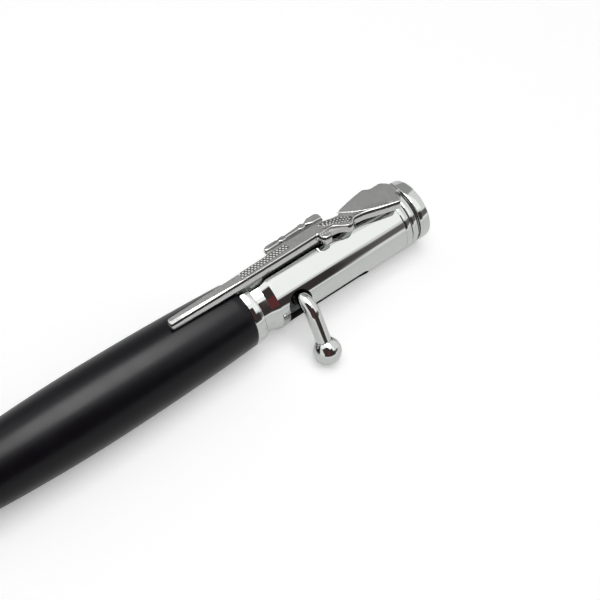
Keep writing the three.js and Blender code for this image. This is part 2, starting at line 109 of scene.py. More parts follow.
sky = world.node_tree.nodes["Background"]
sky.inputs["Color"].default_value = (1, 1, 1, 1)
brightness_by_ray(world.node_tree, seen=1.0, mirrored=1.0, cast=0.2, target=sky.inputs["Strength"])


def new_material(name, colour, roughness, metallic=0.0, specular=0.5):
    """A Principled material, with its shader and its node tree."""
    material = bpy.data.materials.new(name)
    material.use_nodes = True
    shader = material.node_tree.nodes["Principled BSDF"]
    shader.inputs["Base Color"].default_value = (*colour, 1)
    shader.inputs["Roughness"].default_value = roughness
    shader.inputs["Metallic"].default_value = metallic
    shader.inputs["Specular IOR Level"].default_value = specular
    return material, shader, material.node_tree


def studio_board(name, length, width, matrix, material, faded=0.0):
    """A flat board of the studio, across the local X and Y of a matrix, that fades out towards its edges."""
    form = bmesh.new()
    solid = form.verts.layers.float.new("solid")
    bmesh.ops.create_grid(form, x_segments=1, y_segments=1, size=0.5)
    bmesh.ops.scale(form, vec=(length, width, 1), verts=form.verts)
    if faded:
        middle = form.faces[:]
        bmesh.ops.inset_region(form, faces=middle, thickness=faded, use_boundary=True, use_even_offset=True)
        for vert in middle[0].verts:
            vert[solid] = 1
    bmesh.ops.transform(form, matrix=matrix, verts=form.verts)
    mesh = bpy.data.meshes.new(name)
    form.to_mesh(mesh)
    form.free()
    mesh.materials.append(material)
    board = bpy.data.objects.new(name, mesh)
    bpy.context.scene.collection.objects.link(board)
    return board


# White paper on the table. It touches the barrel's belly and rises a little towards the cap, so that knob and rim
# stand on it too
table_size, table_rise, belly_contact = 8, 0.88, -0.0026
paper, paper_shader, paper_tree = new_material("white_paper", (0.88, 0.88, 0.88), 0.95, specular=0.05)
paper_shader.inputs["Emission Color"].default_value = (1, 1, 1, 1)
brightness_by_ray(paper_tree, seen=0.3, mirrored=0.1, cast=0.0, target=paper_shader.inputs["Emission Strength"])
table_place = Matrix.Translation((belly_contact, 0, 0)) @ Matrix.Rotation(math.radians(-table_rise), 4, "Y")
studio_board("table", table_size, table_size, table_place, paper)

# What the polished metal mirrors hangs round the pen, where neither the camera nor the light on the pen meets it:
# a dark board low beside the knob with a paler end, the darkness round the camera, a narrow dark red board, and a
# grey wall beyond the lamp's far edge
pen_middle = pen_to_frame @ Vector((10, 0, 0))


def hung(angle, tilt, reach, roll=0, aside=(0, 0)):
    """Place of something seen from the pen at an angle round it and a tilt towards the cap, facing the pen."""
    return (Matrix.Translation(pen_middle) @ facing(angle) @ Matrix.Rotation(math.radians(tilt), 4, "Y")
            @ Matrix.Translation((0, 0, reach)) @ Matrix.Rotation(math.radians(roll), 4, "Z")
            @ Matrix.Translation((*aside, 0)))


def mirrored_board(name, length, width, place, glow, faded=0.03):
    """A board of an even tone with soft edges that only shows in polished faces."""
    material, shader, tree = new_material(name, (0, 0, 0), 1.0, specular=0.0)
    solid = tree.nodes.new("ShaderNodeAttribute")
    solid.attribute_name = "solid"
    tree.links.new(solid.outputs["Fac"], shader.inputs["Alpha"])
    shader.inputs["Emission Color"].default_value = (*glow, 1)
    shader.inputs["Emission Strength"].default_value = 1
    board = studio_board(name, length, width, place, material, faded)
    board.visible_camera = board.visible_diffuse = board.visible_shadow = False


mirrored_board("low_board", 1.1, 0.3, hung(66.5, 0, 0.5, aside=(-0.28, 0)), (0.055, 0.045, 0.045), 0.035)
mirrored_board("low_board_end", 0.6, 0.24, hung(65.5, 0, 0.505, aside=(0.5, 0)), (0.16, 0.15, 0.145), 0.05)
mirrored_board("camera_darkness", 0.54, 0.62, hung(28, -32, 0.46), (0.06, 0.045, 0.045), 0.06)
mirrored_board("camera_shoulder", 0.26, 0.3, hung(45, 0, 0.455), (0.06, 0.045, 0.045), 0.01)
mirrored_board("red_sleeve", 0.16, 0.32, hung(51, -24, 0.44), (0.15, 0.042, 0.042), 0.02)
softbox_rim = (-24, 20, 0.55, -64.8)
mirrored_board("grey_wall", 1.8, 1.3, hung(*softbox_rim, aside=(-0.84, 0.62)), (0.42, 0.42, 0.42), 0.05)


def hang_lamp(name, length, width, place, radiance):
    """A rectangular soft lamp of an even radiance."""
    data = bpy.data.lights.new(name, "AREA")
    data.shape = "RECTANGLE"
    data.size, data.size_y = length, width
    data.energy = radiance * math.pi * length * width
    lamp = bpy.data.objects.new(name, data)
    bpy.context.scene.collection.objects.link(lamp)
    lamp.matrix_world = place
    lamp.visible_camera = False
    return lamp


# A wide soft lamp over the pen, its bright middle, which shows in the lacquer, and a lamp straight above, which
# lights the table
hang_lamp("softbox", 2.0, 0.9, hung(*softbox_rim, aside=(0.1, -0.45)), 0.4)
hang_lamp("softbox_middle", 0.27, 0.4, hung(-10, 4.3, 0.52), 8.4).visible_diffuse = False
hang_lamp("overhead", 0.6, 0.6, hung(3, 0, 0.75), 2.6).visible_glossy = False

# ---------------------------------------------------------------------------- barrel
# The real barrel is a turned sleeve with a long belly, lacquered in satin black. It slides over a brass tube and is
# held between nib and centre ring.


def turned_form(profile, steps=160, closed=True):
    """A profile of (place along the pen, radius) turned about the pen's axis."""
    form = bmesh.new()
    corners = [form.verts.new((place, 0, radius)) for place, radius in profile]
    following = corners[1:] + corners[:1] if closed else corners[1:]
    lines = [form.edges.new(pair) for pair in zip(corners, following)]
    bmesh.ops.spin(form, geom=corners + lines, cent=(0, 0, 0), axis=along_pen, angle=2 * math.pi,
                   steps=steps, use_merge=True)
    bmesh.ops.remove_doubles(form, verts=form.verts, dist=1e-4)
    bmesh.ops.dissolve_degenerate(form, edges=form.edges, dist=1e-5)
    bmesh.ops.recalc_face_normals(form, faces=form.faces)
    return form


def round_edges(form, width, sharper_than=35, segments=2, choose=None):
    """Rounds the edges that turn by more than an angle, or those of them that are chosen."""
    sharp = [e for e in form.edges if e.is_manifold and math.degrees(e.calc_face_angle()) > sharper_than]
    if choose:
        sharp = [e for e in sharp if choose(e)]
    bmesh.ops.bevel(form, geom=sharp, offset=width, segments=segments, profile=0.5, affect="EDGES", material=-1,
                    clamp_overlap=True)


def make_piece(name, form, material, body, replaces=(), sharper_than=40):
    """Turns a form drawn on the pen's axis into a piece of the scene, of one material or several."""
    bmesh.ops.transform(form, matrix=pen_to_frame, verts=form.verts)
    for face in form.faces:
        face.smooth = True
    for edge in form.edges:
        edge.smooth = not edge.is_manifold or math.degrees(edge.calc_face_angle(0)) < sharper_than
    mesh = bpy.data.meshes.new(name)
    form.to_mesh(mesh)
    form.free()
    for one in material if isinstance(material, tuple) else (material,):
        mesh.materials.append(one)
    piece = bpy.data.objects.new(name, mesh)
    bpy.context.scene.collection.objects.link(piece)
    even = piece.modifiers.new("even_normals", "WEIGHTED_NORMAL")
    even.weight, even.keep_sharp = 70, True
    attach(piece, body)
    if replaces:
        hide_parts(*replaces)


barrel_front, barrel_back = -60.2, -2.2
belly_place, belly_radius = -31.0, 7.07
barrel_rear_radius, barrel_front_radius = 6.3, 5.7
barrel_bore, barrel_steps = 5.15, 40


def barrel_radius(place):
    """The belly falls away to each end as a parabola."""
    end, radius = (barrel_back, barrel_rear_radius) if place > belly_place else (barrel_front, barrel_front_radius)
    return belly_radius - (belly_radius - radius) * ((place - belly_place) / (end - belly_place)) ** 2


stations = [barrel_front + (barrel_back - barrel_front) * i / barrel_steps for i in range(barrel_steps + 1)]
barrel_profile = [(place, barrel_radius(place)) for place in stations]
barrel_form = turned_form([*barrel_profile, (barrel_back, barrel_bore), (barrel_front, barrel_bore)])
round_edges(barrel_form, 0.22, segments=3)


def build_surface_finish():
    """The shader group of every finish: soft patches of tone and sheen, and the height of fine marks."""
    group = bpy.data.node_groups.new("surface_finish", "ShaderNodeTree")
    for name, kind in (("Dark", "Color"), ("Light", "Color"), ("Smoothest", "Float"), ("Roughest", "Float"),
                       ("Patches per mm", "Vector"), ("Marks per mm", "Vector")):
        group.interface.new_socket(name, in_out="INPUT", socket_type="NodeSocket" + kind)
    for name, kind in (("Color", "Color"), ("Roughness", "Float"), ("Height", "Float")):
        group.interface.new_socket(name, in_out="OUTPUT", socket_type="NodeSocket" + kind)
    given, result = group.nodes.new("NodeGroupInput"), group.nodes.new("NodeGroupOutput")
    here = group.nodes.new("ShaderNodeTexCoord")
    in_mm = group.nodes.new("ShaderNodeVectorMath")
    in_mm.operation = "SCALE"
    in_mm.inputs["Scale"].default_value = 1000
    group.links.new(here.outputs["Object"], in_mm.inputs[0])
    waves = {}
    for name, detail in (("Patches per mm", 4), ("Marks per mm", 2)):
        stretched = group.nodes.new("ShaderNodeVectorMath")
        stretched.operation = "MULTIPLY"
        group.links.new(in_mm.outputs[0], stretched.inputs[0])
        group.links.new(given.outputs[name], stretched.inputs[1])
        waves[name] = group.nodes.new("ShaderNodeTexNoise")
        waves[name].inputs["Scale"].default_value = 1
        waves[name].inputs["Detail"].default_value = detail
        group.links.new(stretched.outputs[0], waves[name].inputs["Vector"])
    patches = waves["Patches per mm"].outputs["Fac"]
    sheen = group.nodes.new("ShaderNodeMapRange")
    sheen.inputs["From Min"].default_value, sheen.inputs["From Max"].default_value = 0.3, 0.7
    group.links.new(patches, sheen.inputs["Value"])
    group.links.new(given.outputs["Smoothest"], sheen.inputs["To Min"])
    group.links.new(given.outputs["Roughest"], sheen.inputs["To Max"])
    tone = group.nodes.new("ShaderNodeMix")
    tone.data_type = "RGBA"
    group.links.new(patches, tone.inputs["Factor"])
    group.links.new(given.outputs["Dark"], tone.inputs[6])
    group.links.new(given.outputs["Light"], tone.inputs[7])
    group.links.new(tone.outputs[2], result.inputs["Color"])
    group.links.new(sheen.outputs[0], result.inputs["Roughness"])
    group.links.new(waves["Marks per mm"].outputs["Fac"], result.inputs["Height"])
    return group


surface_finish = build_surface_finish()


def new_finish(name, dark, light, smoothest, roughest, patches, marks, relief, metallic=1.0, specular=0.5):
    """A material with the shared finish, its waves per millimetre along each axis, and its relief in millimetres."""
    material, shader, tree = new_material(name, light, roughest, metallic, specular)
    finish = tree.nodes.new("ShaderNodeGroup")
    finish.node_tree = surface_finish
    finish.inputs["Dark"].default_value = (*dark, 1)
    finish.inputs["Light"].default_value = (*light, 1)
    finish.inputs["Smoothest"].default_value = smoothest
    finish.inputs["Roughest"].default_value = roughest
    finish.inputs["Patches per mm"].default_value = patches
    finish.inputs["Marks per mm"].default_value = marks
    bumps = tree.nodes.new("ShaderNodeBump")
    bumps.inputs["Strength"].default_value = 1
    bumps.inputs["Distance"].default_value = relief / 1000
    tree.links.new(finish.outputs["Color"], shader.inputs["Base Color"])
    tree.links.new(finish.outputs["Roughness"], shader.inputs["Roughness"])
    tree.links.new(finish.outputs["Height"], bumps.inputs["Height"])
    tree.links.new(bumps.outputs["Normal"], shader.inputs["Normal"])
    return material


# Sprayed lacquer has a faint orange peel and a sheen that varies a little
lacquer = new_finish("satin_black_lacquer", (0.0032, 0.0026, 0.0044), (0.004, 0.0034, 0.0052), 0.27, 0.33,
                     (0.25, 0.25, 0.25), (3, 3, 3), 0.001, metallic=0, specular=0.2)
make_piece("black_barrel", barrel_form, lacquer, "pen_body", ["barrel"])

# ---------------------------------------------------------------------------- centre ring
# A short ring of brass, turned, polished and chrome plated, that covers the joint between barrel and case. Its rear
# face is the seam that all places along the pen are counted from.
ring_length, ring_lap, ring_radius, ring_bore = 1.9, 0.2, 6.07, 4.75


def ring_section(front, back, bore, radius):
    """The profile of a ring with square corners."""
    return [(front, bore), (front, radius), (back, radius), (back, bore)]


ring_form = turned_form(ring_section(-ring_length - ring_lap, 0, ring_bore, ring_radius))
round_edges(ring_form, 0.2, segments=3)

# Plating: faint turning marks run round the pen, and a little unevenness makes the reflections live
chrome = new_finish("polished_chrome", (0.588, 0.605, 0.588), (0.602, 0.619, 0.602), 0.03, 0.06, (0.6, 0.2, 0.2),
                    (0.35, 0.06, 0.06), 0.001)
make_piece("chrome_centre_ring", ring_form, chrome, "pen_body", ["centre_ring"])

# ---------------------------------------------------------------------------- cartridge case
# The case is a brass tube turned to the shape of a rifle cartridge, with neck, shoulder and body. An L-shaped slot
# is milled through its wall for the bolt handle, and then it is chrome plated.
case_front, case_back = 0.1, 32.92
neck_radius, neck_length, neck_taper, neck_bore = 5.5, 1.9, 0.04, 4.45
case_radius, case_wall, shoulder_length = 6.11, 0.9, 1.6
shoulder_back = neck_length + shoulder_length
case_bore = case_radius - case_wall
case_form = turned_form(
    [(case_front, neck_bore), (case_front, neck_radius - neck_taper), (neck_length, neck_radius + neck_taper),
     (shoulder_back, case_radius), (case_back, case_radius), (case_back, case_bore), (shoulder_back, case_bore),
     (neck_length, neck_bore)], 128)

stem_place, stem_angle, leg_angle = 8.1, 60.6, 107.0
notch_place, notch_radius, notch_angle = 7.6, 2.5, 65
leg_front, leg_back, leg_half = 5.1, 23.9, 1.82
cut_low, cut_high, slot_margin = 4.4, 8.2, 0.5


def carve(form, cutters):
    """Cuts forms out of a form and gives what is left."""
    def stand(drawn, name):
        """A passing object, made from a form, that the cut needs."""
        mesh = bpy.data.meshes.new(name)
        drawn.to_mesh(mesh)
        drawn.free()
        piece = bpy.data.objects.new(name, mesh)
        bpy.context.scene.collection.objects.link(piece)
        return piece

    blank = stand(form, "blank")
    tools = [stand(cutter, "tool") for cutter in cutters]
    for tool in tools:
        cut = blank.modifiers.new("cut", "BOOLEAN")
        cut.operation, cut.solver, cut.object = "DIFFERENCE", "MANIFOLD", tool
    bpy.context.view_layer.update()
    left = bmesh.new()
    left.from_object(blank, bpy.context.evaluated_depsgraph_get())
    for piece in (blank, *tools):
        bpy.data.meshes.remove(piece.data)
    bmesh.ops.remove_doubles(left, verts=left.verts, dist=0.004)
    bmesh.ops.dissolve_degenerate(left, edges=left.edges, dist=0.002)
    return left


def milled_pocket(front, back, half, angle):
    """A cutter as wide as a mill, moved from one place along the pen to another, at an angle round it."""
    tool = bmesh.new()
    disc = bmesh.ops.create_circle(tool, cap_ends=True, segments=48, radius=half)["verts"]
    bmesh.ops.translate(tool, vec=(back - front - 2 * half, 0, 0), verts=[v for v in disc if v.co.x > 1e-4])
    raised = bmesh.ops.extrude_face_region(tool, geom=tool.faces[:])["geom"]
    bmesh.ops.translate(tool, vec=(0, 0, cut_high - cut_low),
                        verts=[g for g in raised if isinstance(g, bmesh.types.BMVert)])
    bmesh.ops.translate(tool, vec=(front + half, 0, cut_low), verts=tool.verts)
    bmesh.ops.transform(tool, matrix=facing(angle), verts=tool.verts)
    bmesh.ops.recalc_face_normals(tool, faces=tool.faces)
    return tool


turn_tool = bmesh.new()
side = [turn_tool.verts.new(Vector((place, 0, 0)) + outward(notch_angle) * radius)
        for place, radius in ((leg_front, cut_low), (leg_front, cut_high), (leg_front + 2 * notch_radius, cut_high),
                              (leg_front + 2 * notch_radius, cut_low))]
side_face = turn_tool.faces.new(side)
bmesh.ops.spin(turn_tool, geom=[side_face], cent=(0, 0, 0), axis=along_pen,
               angle=math.radians(leg_angle - notch_angle), steps=24)
bmesh.ops.remove_doubles(turn_tool, verts=turn_tool.verts, dist=1e-4)
bmesh.ops.recalc_face_normals(turn_tool, faces=turn_tool.faces)
case_form = carve(case_form, [
    milled_pocket(notch_place - notch_radius, notch_place + notch_radius, notch_radius, notch_angle),
    milled_pocket(leg_front, leg_back, leg_half, leg_angle),
    turn_tool])


def on_slot_edge(edge):
    """The slot's rim on the outside of the case."""
    return all(math.hypot(v.co.y, v.co.z) > case_radius - 0.03
               and leg_front - slot_margin < v.co.x < leg_back + slot_margin for v in edge.verts)


def on_case_end(edge):
    """The rims of the case's two ends."""
    return all(v.co.x < case_front + 0.01 or v.co.x > case_back - 0.01 for v in edge.verts)


round_edges(case_form, 0.1, choose=on_slot_edge)
round_edges(case_form, 0.04, choose=on_case_end)

# The walls of the slot get a near-black finish, painted shade for the dark inside the slot
recess_shade = new_finish("painted_recess_shade", (0.012, 0.011, 0.011), (0.03, 0.028, 0.027), 0.45, 0.65, (2, 2, 2),
                      (5, 5, 5), 0.003)
for face in case_form.faces:
    middle = face.calc_center_median()
    in_slot = case_bore + 0.04 < math.hypot(middle.y, middle.z) < case_radius - 0.06
    face.material_index = int(in_slot and leg_front - slot_margin < middle.x < leg_back + slot_margin)
make_piece("chrome_cartridge_case", case_form, (chrome, recess_shade), "pen_body", ["cartridge_case"],
           sharper_than=13)

# ---------------------------------------------------------------------------- flange, clip band and end cap
# Behind the case come the flange of the end bushing, the ring that carries the clip, and the cap with its extractor
# groove and rim. They are turned, plated and clamped together by a screw under the primer disc.
flange_front, flange_back, flange_radius = 32.94, 34.3, 6.11
band_front, band_back, band_radius = 34.6, 35.85, 6.0
cap_front, rim_front, cap_back = 35.9, 36.52, 38.85
groove_radius, rim_radius, primer_hole, primer_depth = 5.38, 6.0, 2.9, 0.9
bushing_front, bushing_radius, screw_bore, seat_radius = 26.7, 4.91, 2.2, 5.5
bushing_form = turned_form(
    [(bushing_front, screw_bore), (bushing_front, bushing_radius), (flange_front, bushing_radius),
     (flange_front, flange_radius), (flange_back, flange_radius), (flange_back, seat_radius),
     (band_front, seat_radius), (band_front, screw_bore)])
round_edges(bushing_form, 0.03)
make_piece("chrome_end_bushing", bushing_form, chrome, "pen_body", ["end_bushing"])
band_form = turned_form(ring_section(band_front, band_back, screw_bore, band_radius))
round_edges(band_form, 0.12, segments=3)
make_piece("chrome_clip_band", band_form, chrome, "pen_body", ["clip_band"])
cap_form = turned_form(
    [(cap_front, screw_bore), (cap_front, groove_radius), (rim_front, groove_radius), (rim_front, rim_radius),
     (cap_back, rim_radius), (cap_back, primer_hole), (cap_back - primer_depth, primer_hole),
     (cap_back - primer_depth, screw_bore)])
round_edges(cap_form, 0.18, segments=3)
make_piece("chrome_end_cap", cap_form, chrome, "pen_body", ["end_cap"])

# The two turned grooves get a ring of the same near-black finish at their ground, painted shade in the grooves
ground_lap, ground_sunk, ground_raised = 0.05, 0.2, 0.03
for groove, low, high, radius in (("seat", flange_back, band_front, seat_radius),
                                  ("groove", band_back, rim_front, groove_radius)):
    ground_form = turned_form(ring_section(low - ground_lap, high + ground_lap, radius - ground_sunk,
                                           radius + ground_raised), 128)
    make_piece(groove + "_ground", ground_form, recess_shade, "pen_body")

primer_back, primer_radius, primer_thickness = 38.7, 2.6, 0.6
primer_form = turned_form(ring_section(primer_back - primer_thickness, primer_back, 0, primer_radius), 96,
                          closed=False)
round_edges(primer_form, 0.2, segments=3)
make_piece("chrome_primer_disc", primer_form, chrome, "pen_body", ["primer_disc"])

# ---------------------------------------------------------------------------- bolt handle and knob
# The handle is a chrome-plated rod, bent near its foot, screwed into the carrier inside the case. The ball is turned,
# drilled and pressed on its end.
stem_radius, foot_reach, elbow_reach = 1.4, 3, 8.13
elbow_bend, bend_radius = 79.5, 3.2
knob_from_elbow, knob_radius, into_knob = 10.16, 2.6, 0.2
foot = Vector((stem_place, 0, 0)) + outward(stem_angle) * foot_reach
elbow = Vector((stem_place, 0, 0)) + outward(stem_angle) * elbow_reach
leg = outward(stem_angle + elbow_bend)
into_bend = bend_radius * math.tan(math.radians(elbow_bend / 2))
bend_start = elbow - outward(stem_angle) * into_bend
handle_form = bmesh.new()
bmesh.ops.create_circle(handle_form, segments=48, radius=stem_radius,
                        matrix=Matrix.Translation(foot) @ facing(stem_angle))


def draw_out(form, edges, vector):
    """Extrudes a loop of edges by a vector and gives the new loop."""
    drawn = bmesh.ops.extrude_edge_only(form, edges=edges)["geom"]
    ends = {g for g in drawn if isinstance(g, bmesh.types.BMVert)}
    bmesh.ops.translate(form, vec=vector, verts=list(ends))
    return [e for e in form.edges if set(e.verts) <= ends]


bend_loop = draw_out(handle_form, handle_form.edges[:], bend_start - foot)
bent = bmesh.ops.spin(handle_form, geom=bend_loop, cent=bend_start + outward(stem_angle + 90) * bend_radius,
                      axis=along_pen, angle=math.radians(elbow_bend), steps=20)["geom_last"]
stem_length = knob_from_elbow - math.sqrt(knob_radius ** 2 - stem_radius ** 2) - into_bend + into_knob
draw_out(handle_form, [g for g in bent if isinstance(g, bmesh.types.BMEdge)], leg * stem_length)
bmesh.ops.remove_doubles(handle_form, verts=handle_form.verts, dist=1e-4)
bmesh.ops.holes_fill(handle_form, edges=[e for e in handle_form.edges if e.is_boundary], sides=0)
bmesh.ops.recalc_face_normals(handle_form, faces=handle_form.faces)
make_piece("chrome_bolt_handle", handle_form, chrome, "bolt", ["bolt_handle"])

# The ball has a short neck where the rod enters it
knob_neck_radius, knob_neck_length, ball_steps = stem_radius + 0.12, 0.1, 40
neck_at = math.sqrt(knob_radius ** 2 - knob_neck_radius ** 2)
knob_profile = [(-neck_at - knob_neck_length, 0), (-neck_at - knob_neck_length, knob_neck_radius)]
start_angle = math.atan2(knob_neck_radius, -neck_at)
for i in range(ball_steps + 1):
    turn = start_angle * (1 - i / ball_steps)
    knob_profile.append((knob_radius * math.cos(turn), knob_radius * math.sin(turn)))
knob_form = turned_form(knob_profile, 80, closed=False)
knob_centre = elbow + leg * knob_from_elbow
to_leg = along_pen.rotation_difference(leg).to_matrix().to_4x4()
bmesh.ops.transform(knob_form, matrix=Matrix.Translation(knob_centre) @ to_leg, verts=knob_form.verts)
make_piece("chrome_bolt_knob", knob_form, chrome, "bolt", ["bolt_knob"])

# ---------------------------------------------------------------------------- nib
# The nib is turned brass in the shape of a bullet, chrome plated, and screwed on the front of the barrel over a thin
# washer. The ball point of the refill looks out of its mouth.
nib_front, nib_back, nib_radius, nib_mouth = -92.4, -61.4, 5.5, 1.75
nib_collar, ogive_power, ogive_steps = 5, 1.8, 40
thread_bore, thread_depth, nib_orifice = 4.5, 5.9, 1.5
chamber_radius, chamber_front = 3.35, -78.3
throat_back, throat_front, throat_radius, throat_end_radius = -78.6, -86.2, 2.8, 2.5
ogive = nib_back - nib_collar - nib_front
nib_profile = []
for i in range(ogive_steps + 1):
    place = nib_front + ogive * i / ogive_steps
    share_left = (nib_front + ogive - place) / ogive
    nib_profile.append((place, nib_radius - (nib_radius - nib_mouth) * share_left ** ogive_power))
thread_front = nib_back - thread_depth
nib_profile += [(nib_back, nib_radius), (nib_back, thread_bore), (thread_front, thread_bore),
                (thread_front, chamber_radius), (chamber_front, chamber_radius), (throat_back, throat_radius),
                (throat_front, throat_end_radius), (throat_front, nib_orifice), (nib_front, nib_orifice)]
nib_form = turned_form(nib_profile, 144)
round_edges(nib_form, 0.15, segments=3)
make_piece("chrome_nib", nib_form, chrome, "nib", ["nib"])
washer_front, washer_back, washer_bore, washer_radius = -61.15, -60.4, 4.5, 5.3
washer_form = turned_form(ring_section(washer_front, washer_back, washer_bore, washer_radius), 96)
make_piece("chrome_nib_washer", washer_form, chrome, "pen_body", ["nib_washer"])

# ---------------------------------------------------------------------------- pocket clip
# The clip is one zinc casting in the form of a scoped rifle, plated like the rest. Its flat faces are satin, its
# edges and side walls polished, and a seam painted near black as shade runs round it under the edge. A lug joins it
# to the clip band.
clip_angle = -14.4
clip_to_pen = facing(clip_angle)

# Levels over the pen's axis, and how far face and seam are set in from the outline
clip_underside, seam_low, seam_high, clip_top = 6.95, 7.98, 8.38, 8.65
face_inset, seam_inset, seam_lap, nearly_upright = 0.24, 0.215, 0.1, 0.001

# The rifle's outline: place along the pen, height over its bore towards the scope, and how far back its corner
# is rounded
rifle = [
    (-15.95, -1.1, 0.5), (9, -1.1, 2), (16.05, -0.98, 0.1), (16.05, -1.95, 0.35), (16.8, -2.72, 0.35),
    (18.3, -2.72, 0.5), (18.62, -1.05, 0.1), (19.6, -1.03, 0.5), (21.35, -2.65, 0.5), (22.1, -3.1, 0.4),
    (22.9, -3.0, 0.35), (23.85, -2.0, 0.4), (26.1, -2.27, 1), (29.5, -3.48, 0), (33.1, -4.55, 0.5), (34.0, -2.6, 0.6),
    (34.7, -1.1, 0.6), (34.9, 0.1, 0.5), (34.5, 1.2, 0.5), (33.3, 2.34, 0.5), (30.8, 2.34, 0.4), (29.85, 3.12, 0.45),
    (27.3, 2.8, 1), (22.8, 1.8, 0.35), (22.1, 0.87, 0.25), (20.8, 1.1, 0.5), (19.3, 1.55, 0.1), (19.2, 2.4, 0),
    (6.8, 2.4, 0), (6.1, 1.58, 0.3), (-2.35, 1.2, 0), (-11.5, 0.94, 0), (-15.95, 0.8, 0.8)]


def clip_layer(outline, inside, low, high, low_round, high_round, draft=0.0):
    """A layer of the clip between two levels, set in from an outline, with leaning walls and rounded edges."""
    form = bmesh.new()
    form.faces.new([form.verts.new((place, height, low)) for place, height, _ in outline])
    corners = {vert: back for vert, (_, _, back) in zip(form.verts, outline)}
    for reach in sorted({back for back in corners.values() if back}):
        bmesh.ops.bevel(form, geom=[v for v, back in corners.items() if back == reach], offset=reach, segments=6,
                        profile=0.5, affect="VERTICES", material=-1, clamp_overlap=False)
    if inside:
        border = bmesh.ops.inset_region(form, faces=form.faces[:], thickness=inside, use_boundary=True,
                                        use_even_offset=True)["faces"]
        bmesh.ops.delete(form, geom=border, context="FACES")
    face = form.faces[:]
    bmesh.ops.duplicate(form, geom=face)
    form.normal_update()
    bmesh.ops.inset_region(form, faces=face, thickness=draft, depth=(high - low) * face[0].normal.z,
                           use_boundary=True, use_even_offset=True)
    bmesh.ops.remove_doubles(form, verts=form.verts, dist=1e-4)
    bmesh.ops.recalc_face_normals(form, faces=form.faces)
    for level, width, segments in ((high, high_round, 5), (low, low_round, 2)):
        rim = [e for e in form.edges if all(abs(v.co.z - level) < 1e-4 for v in e.verts)
               and any(abs(f.normal.z) < 0.5 for f in e.link_faces)]
        if width:
            bmesh.ops.bevel(form, geom=rim, offset=width, segments=segments, profile=0.5, affect="EDGES",
                            material=-1, clamp_overlap=False)
    return form


# The plating satin and polished, the painted shade of the seam, and the painted shade of the darker ground between
# the studs
clip_satin = new_finish("satin_casting", (0.5, 0.5, 0.49), (0.58, 0.58, 0.57), 0.22, 0.26, (1.2, 1.2, 1.2),
                        (6, 6, 6), 0.0007)
clip_polish = new_finish("polished_casting", (0.52, 0.52, 0.51), (0.6, 0.6, 0.59), 0.07, 0.13, (0.8, 0.8, 0.8),
                         (2.5, 2.5, 2.5), 0.0015)
# Near black and not metal: painted shade in the seam
seam_shade = new_finish("painted_seam_shade", (0.008, 0.007, 0.007), (0.018, 0.016, 0.015), 0.5, 0.7, (2, 2, 2),
                         (5, 5, 5), 0.004, metallic=0)
clip_shade = new_finish("shaded_casting", (0.1, 0.1, 0.098), (0.16, 0.16, 0.157), 0.34, 0.42, (1.2, 1.2, 1.2),
                        (6, 6, 6), 0.0012)


def make_clip_piece(name, form, material, replaces=(), sharper_than=40):
    """A piece of the clip, drawn flat and then turned into its place on the pen."""
    bmesh.ops.transform(form, matrix=clip_to_pen, verts=form.verts)
    make_piece(name, form, material, "clip", replaces, sharper_than)


def make_casting(name, form, replaces=()):
    """A piece of the casting: satin where it faces out, polished elsewhere."""
    form.normal_update()
    for face in form.faces:
        face.material_index = 0 if face.normal.z > 0.99 else 1
    make_clip_piece(name, form, (clip_satin, clip_polish), replaces, sharper_than=30)


def sloping_cut(start, end, dip, width):
    """A cutter whose flat bottom starts at a line on the clip's face and falls away to the right of it."""
    start, end = Vector((*start, clip_top)), Vector((*end, clip_top))
    along = (end - start).normalized()
    turn = Matrix((along, Vector((0, 0, 1)).cross(along), (0, 0, 1))).transposed().to_4x4()
    cutter = bmesh.new()
    bmesh.ops.create_cube(cutter, size=1, matrix=Matrix.Translation((0.5, -0.5, 0.5)))
    bmesh.ops.scale(cutter, vec=((end - start).length, width, 1), verts=cutter.verts)
    bmesh.ops.transform(cutter, matrix=Matrix.Translation(start) @ turn @ Matrix.Rotation(math.radians(dip), 4, "X"),
                        verts=cutter.verts)
    return cutter


# The fore-end has a polished slope on the knob's side. Below the cheek a polished flute widens towards the butt
face_form = carve(clip_layer(rifle, face_inset, seam_high, clip_top, 0.02, 0.22), [
    sloping_cut((-17, -0.1), (9.5, -0.78), 10, 3),
    sloping_cut((24.3, -0.42), (31.4, -2.26), 15, 0.93)])
bmesh.ops.dissolve_limit(face_form, angle_limit=math.radians(0.5), verts=face_form.verts[:],
                         edges=face_form.edges[:])
make_casting("rifle_face", face_form, ["clip"])
make_casting("rifle_body", clip_layer(rifle, 0, clip_underside, seam_low, 0.18, 0.04, draft=0.2))
make_clip_piece("rifle_seam", clip_layer(rifle, seam_inset, seam_low - seam_lap, seam_high + seam_lap, 0, 0,
                                         draft=nearly_upright), seam_shade)

# The trigger guard is a filled web between magazine and grip, left as cast
clip_cast = new_finish("raw_casting", (0.62, 0.6, 0.59), (0.72, 0.7, 0.69), 0.5, 0.6, (1.2, 1.2, 1.2), (6, 6, 6),
                       0.002, metallic=0)
trigger_guard = [(17.6, -0.2, 0), (17.6, -1.75, 0), (19.6, -1.85, 0.8), (21.6, -2.9, 0), (22.3, -2.7, 0),
                 (22.3, -0.2, 0)]
guard_low, guard_high = 7.4, 8.32
make_clip_piece("rifle_trigger_guard", clip_layer(trigger_guard, 0, guard_low, guard_high, 0.05, 0.05, draft=0.3),
                clip_cast)

